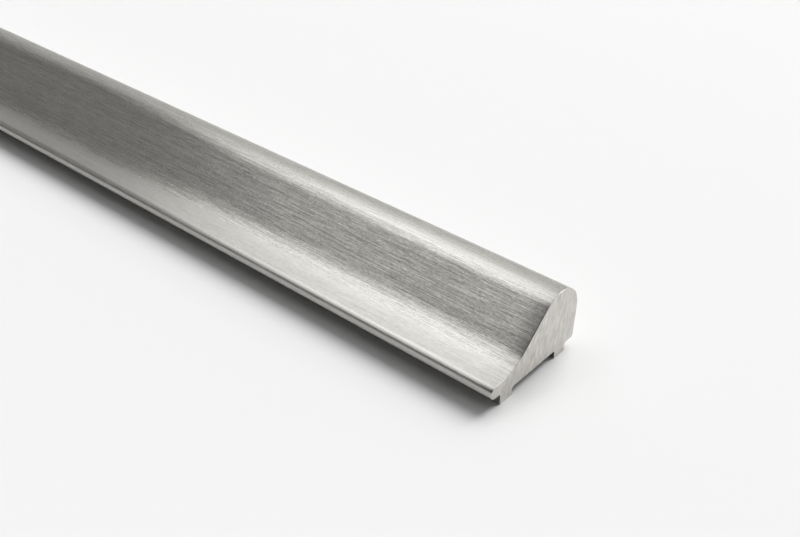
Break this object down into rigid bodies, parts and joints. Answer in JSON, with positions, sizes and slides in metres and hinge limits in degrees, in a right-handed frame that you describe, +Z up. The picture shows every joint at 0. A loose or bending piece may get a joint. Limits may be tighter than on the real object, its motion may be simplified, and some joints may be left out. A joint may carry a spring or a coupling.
{
  "type": "aluminium extrusion profile",
  "caption": "Solid extruded aluminium bar with a rounded nose along the back, a sloping face that runs out through a cove into a round-edged front lip, and narrow feet under it.",
  "frame": {"origin": "under the middle of the bar, on the surface that its feet stand on", "axes": "+X along the bar, +Y from the front lip to the rounded back, +Z up"},
  "size_m": [1, 0.035, 0.0204],
  "materials": {
    "brushed_aluminium": "brushed along its length, with sawn ends"
  },
  "bodies": {
    "root": {"profile_bar": "brushed_aluminium"}
  },
  "joints": []
}
